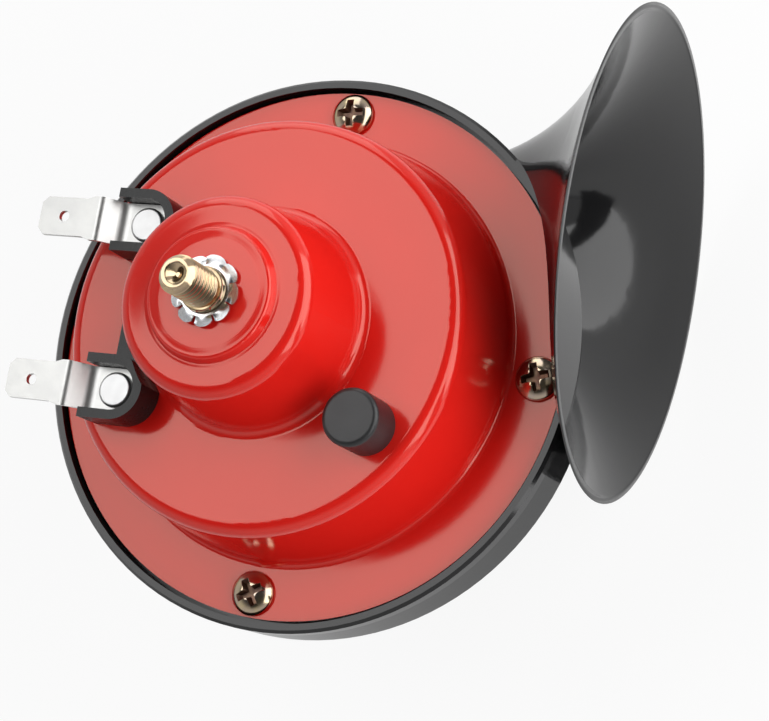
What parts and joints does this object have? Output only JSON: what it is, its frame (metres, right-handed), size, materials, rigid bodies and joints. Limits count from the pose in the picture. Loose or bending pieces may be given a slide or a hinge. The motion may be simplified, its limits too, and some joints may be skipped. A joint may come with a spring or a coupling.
{
  "type": "vehicle electric horn",
  "caption": "Snail-type vehicle electric horn: stepped red pressed cover with a mounting stud, blade terminals and rubber adjuster cap on a black drum with a flared bell mouth.",
  "frame": {"origin": "on the stud's axis at the root of its outer thread, on the shoulder that stands just above the lock washer", "axes": "+Z out along the mounting stud, +X the way the bell's mouth faces, +Y towards the side of the drum that the bell's axis passes on"},
  "size_m": [0.0939, 0.1112, 0.1009],
  "materials": {
    "red_paint": "glossy baked enamel on pressed steel",
    "black_housing": "glossy injection-moulded plastic",
    "black_housing_rear": "glossy injection-moulded plastic",
    "yellow_zinc_screws": "yellow zinc plate",
    "bright_washer": "bright nickel plate",
    "yellow_zinc_stud": "yellow zinc plate",
    "core_steel": "plain turned steel",
    "bobbin_plastic": "natural moulded plastic",
    "copper_winding": "enamelled copper wire",
    "yoke_steel": "plain pressed steel",
    "armature_steel": "plain turned steel",
    "armature_washer_steel": "zinc plate",
    "armature_nut_zinc": "yellow zinc plate",
    "diaphragm_steel": "rolled spring steel",
    "gasket_paper": "pressed paper",
    "gasket_paper_lower": "pressed paper",
    "insulator_plastic": "satin moulded phenolic",
    "tinned_blade": "tinned brass",
    "tinned_blade_2": "tinned brass",
    "rivet_metal": "nickel plate",
    "inner_fibre": "vulcanised fibre",
    "tag_metal": "tinned brass",
    "tag_metal_2": "tinned brass",
    "cap_rubber": "soft black rubber",
    "bush_zinc": "zinc plate",
    "adjuster_steel": "zinc plate",
    "tip_ceramic": "plain ceramic",
    "arm_spring": "phosphor bronze leaf",
    "leaf_steel": "zinc plate",
    "contact_metal": "ground tungsten",
    "contact_metal_2": "ground tungsten",
    "bracket_steel": "zinc plate",
    "stack_fibre": "vulcanised fibre",
    "stack_fibre_2": "vulcanised fibre",
    "stack_fibre_3": "vulcanised fibre",
    "stack_rivet_metal": "zinc plate",
    "lead_wire": "enamelled copper wire",
    "lead_wire_2": "enamelled copper wire",
    "lead_wire_3": "enamelled copper wire"
  },
  "bodies": {
    "horn": {"cover": "red_paint", "horn_body": "black_housing", "snail_cover": "black_housing_rear", "cover_screws": "yellow_zinc_screws", "lock_washer": "bright_washer", "mounting_stud": "yellow_zinc_stud", "core": "core_steel", "coil_bobbin": "bobbin_plastic", "coil_winding": "copper_winding", "yoke_plate": "yoke_steel", "diaphragm": "diaphragm_steel", "cover_gasket": "gasket_paper", "body_gasket": "gasket_paper_lower", "insulator_block": "insulator_plastic", "terminal_1": "tinned_blade", "terminal_2": "tinned_blade_2", "terminal_rivets": "rivet_metal", "inner_insulators": "inner_fibre", "solder_tag_1": "tag_metal", "solder_tag_2": "tag_metal_2", "adjuster_cap": "cap_rubber", "adjuster_bush": "bush_zinc", "adjusting_screw": "adjuster_steel", "adjuster_tip": "tip_ceramic", "contact_arm": "arm_spring", "fixed_leaf": "leaf_steel", "moving_contact": "contact_metal", "fixed_contact": "contact_metal_2", "contact_bracket": "bracket_steel", "upper_insulator": "stack_fibre", "middle_insulator": "stack_fibre_2", "lower_insulator": "stack_fibre_3", "stack_rivets": "stack_rivet_metal", "coil_lead_1": "lead_wire", "coil_lead_2": "lead_wire_2", "contact_lead": "lead_wire_3"},
    "armature_set": {"armature": "armature_steel", "armature_washer": "armature_washer_steel", "armature_nut": "armature_nut_zinc"}
  },
  "joints": [
    {"name": "armature_travel", "type": "slide", "parent": "horn", "child": "armature_set", "axis": [0, 0, 1], "range_m": [-0.0004, 0.0005], "stiffness_N_per_m": 20000, "deforming": ["diaphragm"]}
  ]
}
